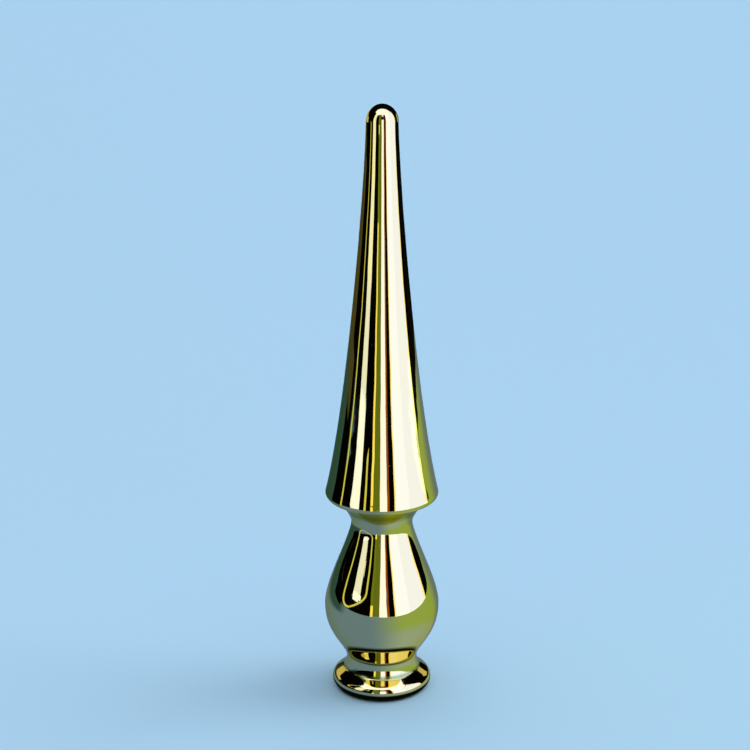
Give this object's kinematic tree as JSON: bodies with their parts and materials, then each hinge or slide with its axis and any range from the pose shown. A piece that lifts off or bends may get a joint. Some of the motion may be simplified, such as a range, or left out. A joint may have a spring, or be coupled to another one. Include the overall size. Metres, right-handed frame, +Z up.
{
  "type": "flagpole finial",
  "caption": "Polished brass round-spear flagpole finial: slim flared cone with a domed tip over a pear-shaped bulb, on a rolled foot with a sloped ledge and a blind socket for the pole's stud.",
  "frame": {"origin": "centre of the flat underside of the foot", "axes": "+Z up along the turning axis, from the foot to the tip; X and Y are free because the piece is turned all round"},
  "size_m": [0.0386, 0.0386, 0.203],
  "materials": {
    "polished_brass": "mirror polished, lightly lacquered, with faint buffing waves and a little darkening in the creases"
  },
  "bodies": {
    "root": {"finial": "polished_brass"}
  },
  "joints": []
}
